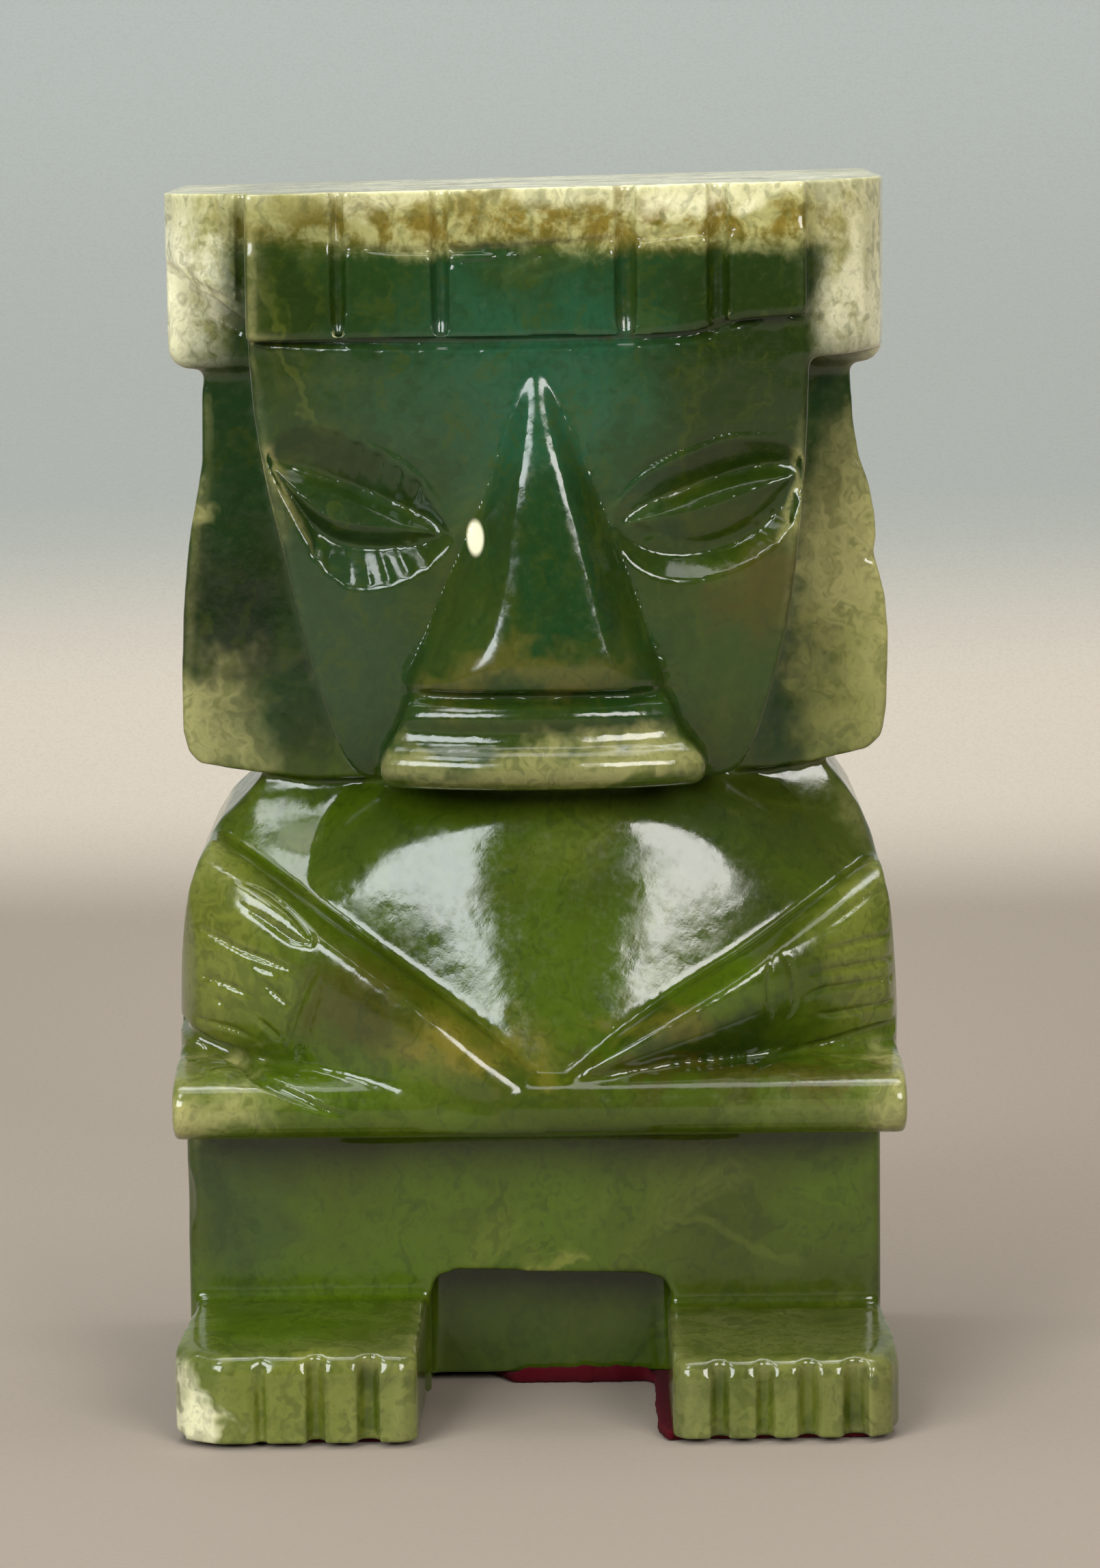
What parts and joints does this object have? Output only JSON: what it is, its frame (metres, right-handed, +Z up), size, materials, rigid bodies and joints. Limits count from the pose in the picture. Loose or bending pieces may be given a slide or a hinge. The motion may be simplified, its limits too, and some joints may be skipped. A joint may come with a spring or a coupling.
{
  "type": "carved green onyx idol figurine",
  "caption": "Seated idol figure carved from one block of polished green onyx, with a grooved headdress, ear slabs, crossed arms and toed feet, on a felt pad.",
  "frame": {"origin": "middle of the felt pad's underside, under the centre of the figure's bounding box", "axes": "+Z up, -Y the way the figure faces, +X to the viewer's right as the figure is faced"},
  "size_m": [0.099, 0.072, 0.1659],
  "materials": {
    "onyx": "polished, translucent, veined from dark green to cream",
    "felt": "dark red pressed felt, cut by hand"
  },
  "bodies": {
    "root": {"figure": "onyx", "felt_pad": "felt"}
  },
  "joints": []
}
